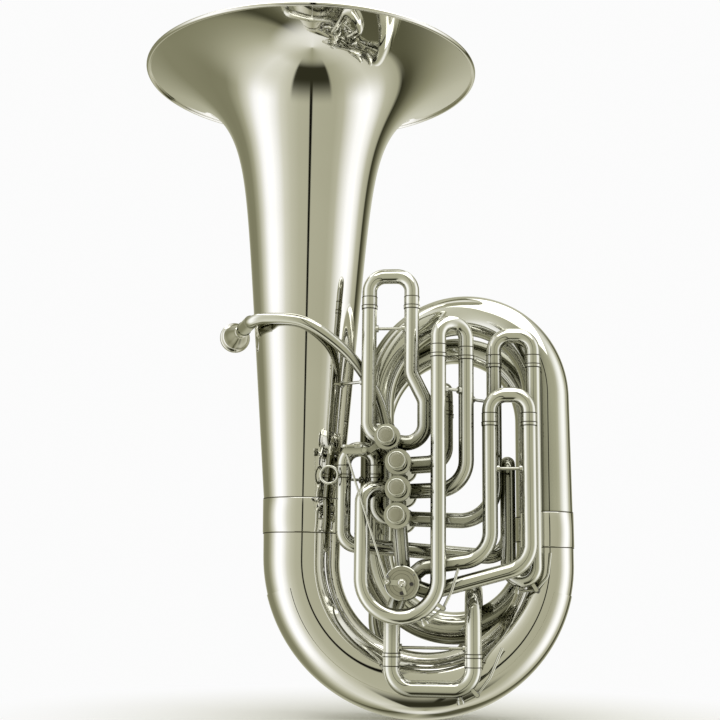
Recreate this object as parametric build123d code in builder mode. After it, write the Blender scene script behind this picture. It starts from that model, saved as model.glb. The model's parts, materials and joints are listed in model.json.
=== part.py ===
from build123d import *
import math
import os

os.makedirs("parts", exist_ok=True)

# Contrabass tuba, front action: four pistons and one rotor.  Millimetres.
# The origin is the lowest point of the bottom bow, +Z runs up along the bell,
# +X goes from the bell to the wrap, -Y faces the listener, where the buttons are.

# ---------------------------------------------------------------- bell and bows
overall_height = 951.0          # bow's lowest point to the bell rim
rim_radius = 250.0
rim_bead_r = 3.4                # rolled edge of the bell
rim_wire_r = 2.2                # wire inside the rolled edge
rim_wire_gap = 0.05
rim_land_depth = 0.5            # flat on top of the rolled edge
bell_wall = 1.2
stem_radius = 56.0              # bell stem at the top of its ferrule
stem_taper = 0.08               # radius gained for each millimetre of height
flare_length = 50.0             # height over which the flare grows e-fold

bow_span = 348.0                # bell axis to the outer branch
bow_wall = 1.2
bow_in_r = 54.6                 # bottom bow where the bell's side of the bend starts
bow_out_r = 36.0                # bottom bow where the bend ends
ferrule_height = 48.0           # bell ferrule and outer branch ferrule
ferrule_wall = 1.4
ferrule_lift = 34.0             # bell ferrule's lower edge above the bend
branch_ferrule_lift = 17.0      # outer branch ferrule's lower edge above the bend
guard_wall = 1.0                # wear plate under the bottom bow
guard_drop = 40.0               # wear plate starts this far under the bend's ends
fit_gap = 0.05                  # air between curved sheets that lie on each other
guard_reach = 12.0              # how far inside the bow's outermost line the plate ends

bow_radius = bow_span / 2
bell_x = -bow_radius
bow_centre_z = bow_radius + (bow_in_r + bow_out_r) / 2 + guard_wall + fit_gap

# ---------------------------------------------------------------- main branches
# Each leg is vertical: its place measured from the bell axis, and its radius.
leg1_r = 33.0
leg2_x, leg2_y, leg2_r = 102.0, 52.0, 24.5
leg3_x, leg3_y, leg3_r = 327.0, 62.0, 21.5
leg4_x, leg4_y, leg4_r = 104.0, 98.0, 17.0
leg5_x = 245.0
branch_wall = 1.1
top_bow_z = 451.0               # height where the legs meet the outer top bow
second_top_z = 421.0
second_bottom_z = 236.0
third_bow_z = 133.0
joint2_z = 400.0                # ferrules on legs two, three and four
joint3_z = 265.0
joint4_z = 290.0
branch_ferrule_h = 34.0

# ---------------------------------------------------------------- valve section
casing_r = 16.5
casing_wall = 2.6
casing_front_y = -110.0
casing_back_y = 12.0
valve_xz = [(131.0, 380.0), (146.0, 346.0), (146.0, 310.0), (145.0, 274.0)]
cap_wall = 0.9                  # skirt of a cap around its casing
cap_front = 6.0                 # top cap's thickness in front of the casing
cap_skirt = 9.0
bottom_cap = 5.0
bottom_skirt = 8.0
piston_gap = 0.05               # running fit of the piston in its casing
piston_length = 80.0
piston_wall = 1.5
piston_rest = 0.3               # piston behind the felt of its top cap
stroke = 17.0
stem_r = 2.6
stem_gap = 0.05
button_r = 11.8
button_thick = 5.0
button_dish = 0.8               # depth of the button's inlaid face
button_lift = 18.0              # button's underside in front of the top cap
felt_thick = 2.0
spring_r = 8.5
spring_wire_r = 0.8
spring_turns = 7

# ---------------------------------------------------------------- valve tubing
tube_r = 10.5
tube_wall = 0.7
port_bore = 8.2                 # bore of the passages in valves
link_wall = 1.2
slide_gap = 0.05                # radial clearance of a slide leg in its sleeve
leg_wall = 0.8
mouth_gap = 0.3                 # slide's bow above its sleeve when pushed home
ring_wall = 0.9                 # reinforcing ring at a sleeve's mouth
ring_h = 4.0
seat_wall = 0.4                 # band where a slide's bow meets its legs
seat_h = 12.0
insert = 50.0                   # length of slide leg inside its sleeve
main_insert = 46.0
corner_r = 22.0                 # corners of the squarer slide bows

first_y, first_x0, first_x1, first_mouth, first_top = -62.0, 100.0, 160.0, 573.0, 616.0
second_x, second_y0, second_y1, second_mouth, second_top = 207.0, -70.0, -40.0, 420.0, 452.0
third_x0, third_y0, third_x1, third_y1 = 200.0, -107.0, 237.0, -84.0
third_mouth, third_top, third_low, third_left_x = 495.0, 540.0, 141.0, 98.0
third_port_y = -78.0            # port of the third slide's left run
fourth_x0, fourth_x1, fourth_y, fourth_mouth, fourth_top = 275.0, 329.0, -47.0, 490.0, 531.0
crook_low, crook_top, crook_x, crook_y0, crook_y1 = 192.0, 352.0, 293.0, -38.0, -10.0
back_x0, back_x1, back_y, back_mouth, back_top = 64.0, 110.0, -42.0, 335.0, 371.0
fifth_x0, fifth_x1, fifth_y, fifth_mouth, fifth_top = 269.0, 322.0, -84.0, 403.0, 441.0

main_tube_r = 11.5
main_slide_y = -60.0
main_left_x = 135.0
main_slide_z = 88.0             # mouths of the main tuning slide's sleeves
main_bottom_z = 46.0
main_corner_r = 28.0
main_crossover_z = 178.0        # where the main tubing turns over to the back
main_crossover_r = 44.0

# ---------------------------------------------------------------- rotary valve
rotor_x, rotor_z = 152.0, 185.0
rotor_casing_r = 22.0
rotor_casing_wall = 2.4
rotor_front_y = -106.0
rotor_back_y = -50.0
rotor_gap = 0.05
rotor_plate = 4.0
rotor_main_y = -72.0            # ports of the main tubing
rotor_stem_r = 4.0
rotor_swing = 45.0              # degrees between stops
stop_arm_thick = 3.0
stop_arm_gap = 1.5              # stop arm in front of the front plate
stop_pin_reach = 19.0           # stop pin's distance from the rotor's axis
stop_pin_r = 1.6
cork_reach = 13.0
cork_r = 2.5
rod_y = -121.0
rod_r = 1.5
rod_length = 182.0
rod_tilt = 18.2                 # degrees of the rod off vertical
rod_eye_r = 4.0
rod_eye_h = 2.6
rod_play = 0.6                  # clearance of the rod's lower eye on the stop pin
pivot_gap = 0.05
lever_reach = 25.0              # thumb lever's pivot to the rod's upper pin
lever_thick = 3.0
lever_post_r = 3.0
paddle = (30.0, 16.0, 2.6)

# ---------------------------------------------------------------- mouthpiece
receiver_mouth = (-86.0, -35.0, 548.0)
mouthpiece_run = (-0.406, 0.913, -0.03)
leadpipe_r = 7.8
leadpipe_wall = 0.9
leadpipe_y = -42.0              # leadpipe's port on the first casing
receiver_r = 9.8
receiver_length = 42.0
shank_depth = 22.0
shank_tip_r = 6.3
shank_mouth_r = 6.85
shank_gap = 0.05
mouthpiece_reach = 69.0
mouthpiece_rim_r = 22.5
mouthpiece_wall = 3.0
cup_r = 16.3
cup_depth = 33.0
throat_r = 4.1

# ---------------------------------------------------------------- small fittings
brace_r = 2.2
brace_foot_r = 5.0
brace_foot_h = 2.5
key_arm_r = 2.0
key_cup_r = 5.5
key_cup_h = 4.0
nipple_r = 3.6
nipple_bore = 2.0
nipple_h = 3.0
key_pin_r = 1.2
key_barrel_r = 3.0
key_barrel_l = 8.0
key_ear = 2.0
key_stand = 8.0                 # hinge outside the tube
cork_h = 1.5
least_run = 2.0                 # straight run left at the crown of a round slide bow
key_rest_gap = 0.3              # cork above the nipple, so that the two stay separate
thumb_ring_r = 12.0
thumb_ring_wire = 1.8


# ---------------------------------------------------------------- helpers
def at(x, y, z):
    """A point given from the bell axis."""
    return Vector(bell_x + x, y, z)


def keep(part, name):
    """Label a finished piece and write it."""
    part.label = name
    export_step(part, f"parts/{name}.step")


def ring_face(centre, direction, radius, bore_r=0.0):
    """Round or ring-shaped section square to a direction."""
    with BuildSketch(Plane(origin=centre, z_dir=direction)) as face:
        Circle(radius)
        if bore_r > 0:
            Circle(bore_r, mode=Mode.SUBTRACT)
    return face.sketch


def bar(centre, direction, radius, length, bore_r=0.0, mode=Mode.ADD):
    """Add or cut a round bar, or a collar, that starts at centre and runs along direction."""
    extrude(ring_face(centre, direction, radius, bore_r), amount=length, mode=mode)


def pipe(route, bends, radius, bore_r=0.0, mode=Mode.ADD):
    """Bent tube of one size along straight runs joined by arcs."""
    with BuildLine() as path:
        if len(route) == 2:
            Line(*route)
        else:
            FilletPolyline(*route, radius=bends)
    section = ring_face(path.line @ 0, path.line % 0, radius, bore_r)
    sweep(sections=section, path=path.line, mode=mode)


def cone(start, end, r0, r1, mode=Mode.ADD):
    """Straight tapered run between two points."""
    run = end - start
    loft(sections=[ring_face(start, run, r0), ring_face(end, run, r1)], mode=mode)


def half_bend(start, end, z, rise, r0, r1, mode=Mode.ADD, steps=8):
    """Tapered half-round bend between two vertical legs; rise is 1 over the top, -1 below."""
    a = at(*start, z)
    b = at(*end, z)
    out = (a - b) * 0.5
    up = Vector(0, 0, rise) * out.length
    sections = []
    for i in range(steps + 1):
        turn = math.pi * i / steps
        centre = (a + b) * 0.5 + out * math.cos(turn) + up * math.sin(turn)
        run = up * math.cos(turn) - out * math.sin(turn)
        plane = Plane(origin=centre, x_dir=out.cross(up), z_dir=run)
        with BuildSketch(plane) as face:
            Circle(r0 + (r1 - r0) * i / steps)
        sections.append(face.sketch)
    loft(sections=sections, mode=mode)


# ---------------------------------------------------------------- derived places
bell_ferrule_z = bow_centre_z + ferrule_lift
bell_joint_z = bell_ferrule_z + ferrule_height / 2
flare_start_z = bell_ferrule_z + ferrule_height
branch_ferrule_z = bow_centre_z + branch_ferrule_lift
branch_joint_z = branch_ferrule_z + ferrule_height / 2
rim_x = rim_radius - rim_bead_r
rim_z = overall_height - rim_bead_r + rim_land_depth
flare_gain = rim_x - stem_radius - stem_taper * (rim_z - flare_start_z)
BELL = (0.0, 0.0)
LEG1 = (bow_span, 0.0)
LEG2 = (leg2_x, leg2_y)
LEG3 = (leg3_x, leg3_y)
LEG4 = (leg4_x, leg4_y)
LEG5 = (leg5_x, leg4_y)
FRONT = Vector(0, -1, 0)
BACK = Vector(0, 1, 0)
UP = Vector(0, 0, 1)
DOWN = Vector(0, 0, -1)


def stem_r_at(z):
    """Outer radius of the nearly straight run between the bow and the flare."""
    share = (z - bow_centre_z) / (flare_start_z - bow_centre_z)
    return bow_in_r + (stem_radius - bow_in_r) * share


def bell_radius(z):
    """Outer radius of the bell: a steady taper and an exponential flare."""
    taper = stem_radius + stem_taper * (z - flare_start_z)
    return taper + flare_gain * math.exp((z - rim_z) / flare_length)


# ---------------------------------------------------------------- bell
bell_steps = 14
flare_heights = [rim_z - (rim_z - flare_start_z) * (1 - i / bell_steps) ** 2.2 for i in range(bell_steps + 1)]
with BuildPart() as bell:
    with BuildSketch(Plane.XZ):
        with BuildLine():
            outer = Spline(*[(bell_x + bell_radius(z), z) for z in flare_heights])
            inner = Spline(*[(bell_x + bell_radius(z) - bell_wall, z) for z in flare_heights])
            foot = (bell_x + stem_r_at(bell_joint_z), bell_joint_z)
            Polyline(outer @ 0, foot, (foot[0] - bell_wall, foot[1]), inner @ 0)
            Line(outer @ 1, inner @ 1)
        make_face()
        with Locations((bell_x + rim_x, rim_z)):
            Circle(rim_bead_r)
            Circle(rim_wire_r + rim_wire_gap, mode=Mode.SUBTRACT)
        with Locations((bell_x + rim_x, overall_height + rim_bead_r)):
            Rectangle(4 * rim_bead_r, 2 * rim_bead_r, mode=Mode.SUBTRACT)
    revolve(axis=Axis((bell_x, 0, 0), (0, 0, 1)))
keep(bell.part, "bell")

with BuildPart() as rim_wire:
    with BuildSketch(Plane.XZ):
        with Locations((bell_x + rim_x, rim_z)):
            Circle(rim_wire_r)
    revolve(axis=Axis((bell_x, 0, 0), (0, 0, 1)))
keep(rim_wire.part, "rim_wire")

# ---------------------------------------------------------------- bows of the main tubing
with BuildPart() as bottom_bow:
    for wall, mode in ((0.0, Mode.ADD), (bow_wall, Mode.SUBTRACT)):
        half_bend(BELL, LEG1, bow_centre_z, -1, bow_in_r - wall, bow_out_r - wall, mode)
        cone(at(*BELL, bow_centre_z), at(*BELL, bell_joint_z),
             bow_in_r - wall, stem_r_at(bell_joint_z) - wall, mode)
        cone(at(*LEG1, bow_centre_z), at(*LEG1, branch_joint_z), bow_out_r - wall, bow_out_r - wall, mode)
keep(bottom_bow.part, "bottom_bow")

with BuildPart() as bow_guard:
    shell = guard_wall + fit_gap
    half_bend(BELL, LEG1, bow_centre_z, -1, bow_in_r + shell, bow_out_r + shell)
    half_bend(BELL, LEG1, bow_centre_z, -1, bow_in_r + fit_gap, bow_out_r + fit_gap, Mode.SUBTRACT)
    bar(at(bow_radius, -2 * bow_in_r, bow_centre_z), BACK, bow_radius + guard_reach, 4 * bow_in_r, mode=Mode.SUBTRACT)
    with BuildSketch(Plane(origin=at(bow_radius, 0, bow_centre_z - guard_drop))) as top_trim:
        Rectangle(4 * bow_radius, 4 * bow_in_r)
    extrude(top_trim.sketch, amount=2 * guard_drop, mode=Mode.SUBTRACT)
keep(bow_guard.part, "bow_guard")

with BuildPart() as top_bow:
    for wall, mode in ((0.0, Mode.ADD), (branch_wall, Mode.SUBTRACT)):
        cone(at(*LEG1, branch_joint_z), at(*LEG1, top_bow_z), bow_out_r - wall, leg1_r - wall, mode)
        half_bend(LEG1, LEG2, top_bow_z, 1, leg1_r - wall, leg2_r - wall, mode)
        cone(at(*LEG2, joint2_z), at(*LEG2, top_bow_z), leg2_r - wall, leg2_r - wall, mode)
keep(top_bow.part, "top_bow")

with BuildPart() as second_bottom_bow:
    for wall, mode in ((0.0, Mode.ADD), (branch_wall, Mode.SUBTRACT)):
        cone(at(*LEG2, second_bottom_z), at(*LEG2, joint2_z), leg2_r - wall, leg2_r - wall, mode)
        half_bend(LEG2, LEG3, second_bottom_z, -1, leg2_r - wall, leg3_r - wall, mode)
        cone(at(*LEG3, second_bottom_z), at(*LEG3, joint3_z), leg3_r - wall, leg3_r - wall, mode)
keep(second_bottom_bow.part, "second_bottom_bow")

with BuildPart() as second_top_bow:
    for wall, mode in ((0.0, Mode.ADD), (branch_wall, Mode.SUBTRACT)):
        cone(at(*LEG3, joint3_z), at(*LEG3, second_top_z), leg3_r - wall, leg3_r - wall, mode)
        half_bend(LEG3, LEG4, second_top_z, 1, leg3_r - wall, leg4_r - wall, mode)
        cone(at(*LEG4, joint4_z), at(*LEG4, second_top_z), leg4_r - wall, leg4_r - wall, mode)
keep(second_top_bow.part, "second_top_bow")

with BuildPart() as third_bow:
    for wall, mode in ((0.0, Mode.ADD), (branch_wall, Mode.SUBTRACT)):
        cone(at(*LEG4, third_bow_z), at(*LEG4, joint4_z), leg4_r - wall, leg4_r - wall, mode)
        half_bend(LEG4, LEG5, third_bow_z, -1, leg4_r - wall, main_tube_r - wall, mode)
keep(third_bow.part, "third_bow")

# Ferrules: sleeves soldered over the joints, standing on each joint's middle.
with BuildPart() as main_ferrules:
    for share0, share1, mode in ((ferrule_wall, ferrule_wall, Mode.ADD), (0.0, 0.0, Mode.SUBTRACT)):
        cone(at(*BELL, bell_ferrule_z), at(*BELL, flare_start_z),
             stem_r_at(bell_ferrule_z) + share0, stem_radius + share1, mode)
    branch_ferrules = [
        (LEG1, branch_ferrule_z, ferrule_height, bow_out_r),
        (LEG2, joint2_z - branch_ferrule_h / 2, branch_ferrule_h, leg2_r),
        (LEG3, joint3_z - branch_ferrule_h / 2, branch_ferrule_h, leg3_r),
        (LEG4, joint4_z - branch_ferrule_h / 2, branch_ferrule_h, leg4_r),
        (LEG5, third_bow_z, branch_ferrule_h / 2, main_tube_r),
    ]
    for leg, foot_z, height, radius in branch_ferrules:
        bar(at(*leg, foot_z), UP, radius + ferrule_wall, height, radius)
keep(main_ferrules.part, "main_ferrules")

# ---------------------------------------------------------------- routes of the valve tubing
def valve(number, y):
    """A point on a piston's axis."""
    x, z = valve_xz[number - 1]
    return at(x, y, z)


def rotor_axis(y):
    """A point on the rotor's axis."""
    return at(rotor_x, y, rotor_z)


mouth = at(*receiver_mouth)
run = Vector(*mouthpiece_run).normalized()
leadpipe_route = [
    mouth - run * (shank_depth + 1),
    mouth - run * 60,
    at(10, -94, 549),
    at(68, -60, 508),
    at(104, -35, 474),
    valve(1, leadpipe_y),
]
leadpipe_bends = [30, 40, 34, 34]
first_left = [at(first_x0, first_y, first_mouth), at(first_x0, first_y, 392), valve(1, first_y)]
first_right = [
    at(first_x1, first_y, first_mouth),
    at(first_x1, first_y, 475),
    at(179, first_y, 437),
    at(179, first_y, 374),
    valve(1, first_y),
]
second_front = [at(second_x, second_y0, second_mouth), at(second_x, second_y0, 350), valve(2, second_y0)]
second_back = [at(second_x, second_y1, second_mouth), at(second_x, second_y1, 350), valve(2, second_y1)]
third_left = [
    valve(3, third_port_y),
    at(third_left_x, third_y0, 312),
    at(third_left_x, third_y0, third_low),
    at(third_x0, third_y0, third_low),
    at(third_x0, third_y0, third_mouth),
]
third_right = [at(third_x1, third_y1, third_mouth), at(third_x1, third_y1, 312), valve(3, -62)]
fourth_out = [valve(4, -44), at(fourth_x0, fourth_y, 270), at(fourth_x0, fourth_y, fourth_mouth)]
fourth_crook = [
    at(fourth_x1, fourth_y, fourth_mouth),
    at(fourth_x1, fourth_y, crook_low),
    at(crook_x, crook_y0, crook_low),
    at(crook_x, crook_y0, crook_top),
    at(crook_x, crook_y1, crook_top),
    at(crook_x, crook_y1, 222),
    at(back_x0, back_y, 238),
    at(back_x0, back_y, back_mouth),
]
fourth_home = [at(back_x1, back_y, back_mouth), at(back_x1, back_y, 274), valve(4, back_y)]
fifth_left = [
    rotor_axis(fifth_y),
    at(178, fifth_y, 207),
    at(fifth_x0, fifth_y, 220),
    at(fifth_x0, fifth_y, fifth_mouth),
]
fifth_right = [
    at(fifth_x1, fifth_y, fifth_mouth),
    at(fifth_x1, fifth_y, 211),
    at(188, fifth_y, 174),
    rotor_axis(fifth_y),
]
link_main = [valve(4, -80), rotor_axis(rotor_main_y)]
main_left = [
    at(main_left_x, main_slide_y, main_slide_z),
    at(main_left_x, main_slide_y, 142),
    rotor_axis(rotor_main_y),
]
main_right = [
    at(leg5_x, main_slide_y, main_slide_z),
    at(leg5_x, main_slide_y, main_crossover_z),
    at(leg5_x, leg4_y, main_crossover_z),
    at(leg5_x, leg4_y, third_bow_z),
]
links = [(1, 2, -42), (2, 3, -52), (3, 4, -76)]

tube_bore = tube_r - tube_wall
valve_ports = {
    1: [leadpipe_route[-2:], first_left[-2:], first_right[-2:]],
    2: [second_front[-2:], second_back[-2:]],
    3: [third_left[1::-1], third_right[-2:]],
    4: [fourth_out[1::-1], fourth_home[-2:], link_main[::-1]],
}


def cut_casings():
    """Take the room of the valve casings out of the tubes that meet them."""
    for number in range(1, len(valve_xz) + 1):
        bar(valve(number, casing_front_y), BACK, casing_r, casing_back_y - casing_front_y, mode=Mode.SUBTRACT)


def cut_rotor():
    """Take the room of the rotor casing out of the tubes that meet it."""
    bar(rotor_axis(rotor_front_y), BACK, rotor_casing_r, rotor_back_y - rotor_front_y, mode=Mode.SUBTRACT)


def mouth_ring(top, direction, radius=tube_r):
    """Reinforcing ring on a sleeve; it starts at the mouth and runs along direction."""
    bar(top, direction, radius + ring_wall, ring_h, radius)


# ---------------------------------------------------------------- valve casings and caps
for number in range(1, len(valve_xz) + 1):
    with BuildPart() as casing:
        bar(valve(number, casing_front_y), BACK, casing_r, casing_back_y - casing_front_y, casing_r - casing_wall)
        for beyond, centre in valve_ports[number]:
            bar(centre, beyond - centre, port_bore, 2 * casing_r, mode=Mode.SUBTRACT)
        for one, other, y in links:
            if number in (one, other):
                partner = other if number == one else one
                bar(valve(number, y), valve(partner, y) - valve(number, y), port_bore,
                    2 * casing_r, mode=Mode.SUBTRACT)
    keep(casing.part, f"valve_casing_{number}")

cap_r = casing_r + cap_wall
with BuildPart() as top_caps:
    for number in range(1, len(valve_xz) + 1):
        bar(valve(number, casing_front_y + cap_skirt), FRONT, cap_r, cap_skirt, casing_r)
        bar(valve(number, casing_front_y), FRONT, cap_r, cap_front, stem_r + stem_gap)
keep(top_caps.part, "valve_top_caps")

with BuildPart() as bottom_caps:
    for number in range(1, len(valve_xz) + 1):
        bar(valve(number, casing_back_y - bottom_skirt), BACK, cap_r, bottom_skirt, casing_r)
        bar(valve(number, casing_back_y), BACK, cap_r, bottom_cap)
keep(bottom_caps.part, "valve_bottom_caps")

with BuildPart() as cap_felts:
    for number in range(1, len(valve_xz) + 1):
        bar(valve(number, casing_front_y), BACK, casing_r - casing_wall - piston_gap, felt_thick, 2 * stem_r)
keep(cap_felts.part, "cap_felts")

with BuildPart() as valve_links:
    for one, other, y in links:
        bar(valve(one, y), valve(other, y) - valve(one, y), port_bore + link_wall,
            (valve(other, y) - valve(one, y)).length, port_bore)
    cut_casings()
keep(valve_links.part, "valve_link_tubes")

# ---------------------------------------------------------------- pistons, buttons and springs
piston_r = casing_r - casing_wall - piston_gap
piston_front_y = casing_front_y + felt_thick + piston_rest
piston_back_y = piston_front_y + piston_length
passage_r = piston_r * 0.6
for number in range(1, len(valve_xz) + 1):
    with BuildPart() as piston:
        bar(valve(number, piston_front_y), BACK, piston_r, piston_length)
        bar(valve(number, piston_front_y + piston_wall), BACK, piston_r - piston_wall,
            piston_length - 2 * piston_wall, mode=Mode.SUBTRACT)
        passage_step = (piston_length - 2 * passage_r) / 3
        across = valve(min(number + 1, 4), 0) - valve(min(number, 3), 0)
        for i in range(3):
            level = piston_front_y + passage_r + passage_step * (i + 0.5)
            start = valve(number, level) - across.normalized() * piston_r
            bar(start, across, passage_r + link_wall, 2 * piston_r)
            bar(start - across.normalized() * piston_r, across, passage_r, 4 * piston_r, mode=Mode.SUBTRACT)
        outside = 2 * piston_r
        bar(valve(number, piston_front_y), BACK, outside, piston_length, piston_r, mode=Mode.SUBTRACT)
    keep(piston.part, f"piston_{number}")

    with BuildPart() as finger_button:
        button_back_y = casing_front_y - cap_front - button_lift
        bar(valve(number, piston_front_y), FRONT, stem_r, piston_front_y - button_back_y)
        bar(valve(number, button_back_y), FRONT, button_r, button_thick)
        rim = finger_button.edges().filter_by(GeomType.CIRCLE).group_by(Axis.Y)[0]
        fillet(rim, radius=button_thick * 0.3)
        bar(valve(number, button_back_y - button_thick), BACK, button_r * 0.82, button_dish, mode=Mode.SUBTRACT)
    keep(finger_button.part, f"finger_button_{number}")

    with BuildPart() as valve_spring:
        spring_length = casing_back_y - piston_back_y - 2 * spring_wire_r - 0.4
        start = valve(number, piston_back_y + spring_wire_r + 0.2)
        coil = Helix(pitch=spring_length / spring_turns, height=spring_length, radius=spring_r,
                     center=start, direction=(0, 1, 0))
        wire = ring_face(coil @ 0, coil % 0, spring_wire_r)
        sweep(sections=wire, path=coil, is_frenet=True)
    keep(valve_spring.part, f"valve_spring_{number}")

# ---------------------------------------------------------------- leadpipe, receiver, mouthpiece
with BuildPart() as leadpipe:
    pipe(leadpipe_route, leadpipe_bends, leadpipe_r, leadpipe_r - leadpipe_wall)
    cut_casings()
keep(leadpipe.part, "leadpipe")

with BuildPart() as mouthpiece_receiver:
    bar(mouth, run * -1, receiver_r, receiver_length)
    bar(mouth, run, receiver_r + ring_wall, ring_h / 2)
    bar(mouth - run * shank_depth, run * -1, leadpipe_r, receiver_length, mode=Mode.SUBTRACT)
    cone(mouth - run * shank_depth, mouth + run * ring_h,
         shank_tip_r + shank_gap, shank_mouth_r + shank_gap, Mode.SUBTRACT)
keep(mouthpiece_receiver.part, "mouthpiece_receiver")

# The mouthpiece is turned about its own axis: z is the distance out of the receiver.
shank_plane = Plane(origin=mouth, x_dir=run.cross(UP), z_dir=run)
rim_top = mouthpiece_reach
shank_slope = (shank_mouth_r - shank_tip_r) / (shank_depth + ring_h)
with BuildPart(Plane.XY) as mouthpiece:
    with BuildSketch(Plane.XZ):
        with BuildLine():
            tip_z = 1 - shank_depth
            Polyline((throat_r + 1, tip_z), (shank_tip_r, tip_z), (shank_mouth_r, ring_h),
                     (shank_mouth_r + 1.2, 24))
            Spline((shank_mouth_r + 1.2, 24), (12.5, 38), (cup_r + mouthpiece_wall, rim_top - 9),
                   tangents=[(0.1, 1), (0.2, 1)])
            Line((cup_r + mouthpiece_wall, rim_top - 9), (mouthpiece_rim_r, rim_top - 4.5))
            ThreePointArc((mouthpiece_rim_r, rim_top - 4.5), (mouthpiece_rim_r - 3.2, rim_top), (cup_r, rim_top - 2.5))
            Spline((cup_r, rim_top - 2.5), (cup_r * 0.8, rim_top - cup_depth * 0.55), (throat_r, rim_top - cup_depth),
                   tangents=[(-0.1, -1), (-0.5, -1)])
            Line((throat_r, rim_top - cup_depth), (throat_r + 1, tip_z))
        make_face()
    revolve(axis=Axis.Z)
mouthpiece_part = shank_plane.location * mouthpiece.part
keep(mouthpiece_part, "mouthpiece")

# ---------------------------------------------------------------- fixed tubing of the slides
def fixed_tubes(routes, radius=tube_r, seat=None):
    """Bent tubes with a ring at each sleeve's mouth; each route is (points, bends, first end is mouth)."""
    for points, bends, _ in routes:
        pipe(points, bends, radius)
    if seat:
        key_seat(*seat)
    for points, bends, first_is_mouth in routes:
        pipe(points, bends, radius - tube_wall, mode=Mode.SUBTRACT)
        top, below = (points[0], points[1]) if first_is_mouth else (points[-1], points[-2])
        mouth_ring(top, below - top, radius)


third_r = (third_x0 - third_left_x) / 2 - 0.5
main_corner = at(leg5_x - main_corner_r, main_slide_y, main_bottom_z + main_corner_r)
third_centre = at((third_left_x + third_x0) / 2, third_y0, third_low + (third_x0 - third_left_x) / 2)
crook_centre = at((fourth_x1 + crook_x) / 2, (fourth_y + crook_y0) / 2, crook_low + (fourth_x1 - crook_x) / 2)


def key_place(centre, outer_r, nipple_angle, hinge_angle, thumb):
    """Places of a water key outside a bend: nipple foot, way out, hinge, and the thumb end's two points."""
    def spoke(degrees):
        turn = math.radians(degrees)
        return Vector(math.cos(turn), 0, math.sin(turn))
    foot = centre + spoke(nipple_angle) * outer_r
    hinge = centre + spoke(hinge_angle) * (outer_r + key_stand)
    return foot, spoke(nipple_angle), hinge, [hinge + Vector(x, 0, z) for x, z in thumb]


main_key = key_place(main_corner, main_corner_r + main_tube_r, -76, -46, [(17, 22), (34, 62)])
third_key = key_place(third_centre, third_centre.Z - third_low + tube_r, -60, -34, [(11, 22), (20, 52)])
crook_key = key_place(crook_centre, crook_centre.Z - crook_low + tube_r, -104, -58, [(16, 18), (20, 50)])


def plate(a, b, y, half_width, thick):
    """Slot-shaped plate between two points, square to Y, from y towards the front."""
    middle = Vector((a.X + b.X) / 2, y, (a.Z + b.Z) / 2)
    with BuildSketch(Plane(origin=middle, x_dir=Vector(b.X - a.X, 0, b.Z - a.Z), z_dir=FRONT)) as outline:
        SlotCenterToCenter(math.hypot(b.X - a.X, b.Z - a.Z), 2 * half_width)
    extrude(outline.sketch, amount=thick)


def key_seat(place, centre):
    """Nipple on the outside of a bend, and two ears that carry a water key's pin."""
    foot, away, hinge, _ = place
    bar(foot - away * tube_wall, away, nipple_r, nipple_h + tube_wall)
    bar(foot - away * 2 * tube_wall, away, nipple_bore, nipple_h + 3 * tube_wall, mode=Mode.SUBTRACT)
    inward = (centre - hinge).normalized()
    ear_y = key_barrel_l / 2 + pivot_gap
    for back in (ear_y + key_ear, -ear_y):
        plate(hinge, hinge + inward * key_stand, hinge.Y + back, key_barrel_r - 0.6, key_ear)
    bar(hinge - BACK * (ear_y + key_ear), BACK, key_pin_r, 2 * (ear_y + key_ear))


with BuildPart() as first_tubes:
    fixed_tubes([(first_left, [22], True), (first_right, [24, 22, 26], True)])
    cut_casings()
keep(first_tubes.part, "slide_1_tubes")

with BuildPart() as second_tubes:
    fixed_tubes([(second_front, [26], True), (second_back, [26], True)])
    cut_casings()
keep(second_tubes.part, "slide_2_tubes")

with BuildPart() as third_tubes:
    fixed_tubes([(third_left, [20, third_r, third_r], False), (third_right, [40], True)],
                seat=(third_key, third_centre))
    cut_casings()
keep(third_tubes.part, "slide_3_tubes")

with BuildPart() as fourth_tubes:
    fixed_tubes([(fourth_out, [48], False), (fourth_crook, [18.2, 18.2, 13.8, 13.8, 30, 20], True),
                 (fourth_home, [18], True)], seat=(crook_key, crook_centre))
    mouth_ring(fourth_crook[-1], DOWN)
    cut_casings()
keep(fourth_tubes.part, "slide_4_tubes")

with BuildPart() as fifth_tubes:
    fixed_tubes([(fifth_left, [14, 40], False), (fifth_right, [38, 14], True)])
    cut_rotor()
keep(fifth_tubes.part, "slide_5_tubes")

with BuildPart() as main_tubes:
    fixed_tubes([(main_left, [26], True), (main_right, [main_crossover_r, main_crossover_r], True)], main_tube_r)
    cut_rotor()
keep(main_tubes.part, "main_slide_tubes")

with BuildPart() as link_tube:
    pipe(link_main, [], tube_r, tube_bore)
    cut_casings()
    cut_rotor()
keep(link_tube.part, "rotor_feed_tube")


# ---------------------------------------------------------------- tuning slides
def slide(left, right, top, bend, radius=tube_r, reach=insert, seat=None):
    """U bow with two legs; left and right are the sleeves' mouths, top the bow's straight run."""
    way = UP if top > left.Z else DOWN
    left_seat = left + way * mouth_gap
    right_seat = right + way * mouth_gap
    left_top = Vector(left.X, left.Y, top)
    right_top = Vector(right.X, right.Y, top)
    bow = [left_seat, left_top, right_top, right_seat]
    pipe(bow, bend, radius)
    if seat:
        key_seat(*seat)
    pipe(bow, bend, radius - tube_wall, mode=Mode.SUBTRACT)
    leg_r = radius - tube_wall - slide_gap
    for seat in (left_seat, right_seat):
        bar(seat, way, radius + seat_wall, seat_h, radius)
        bar(seat + way * seat_h, way * -1, leg_r, seat_h + mouth_gap + reach, leg_r - leg_wall)
        bar(seat + way, way * -1, radius, 1, leg_r - leg_wall)


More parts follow.
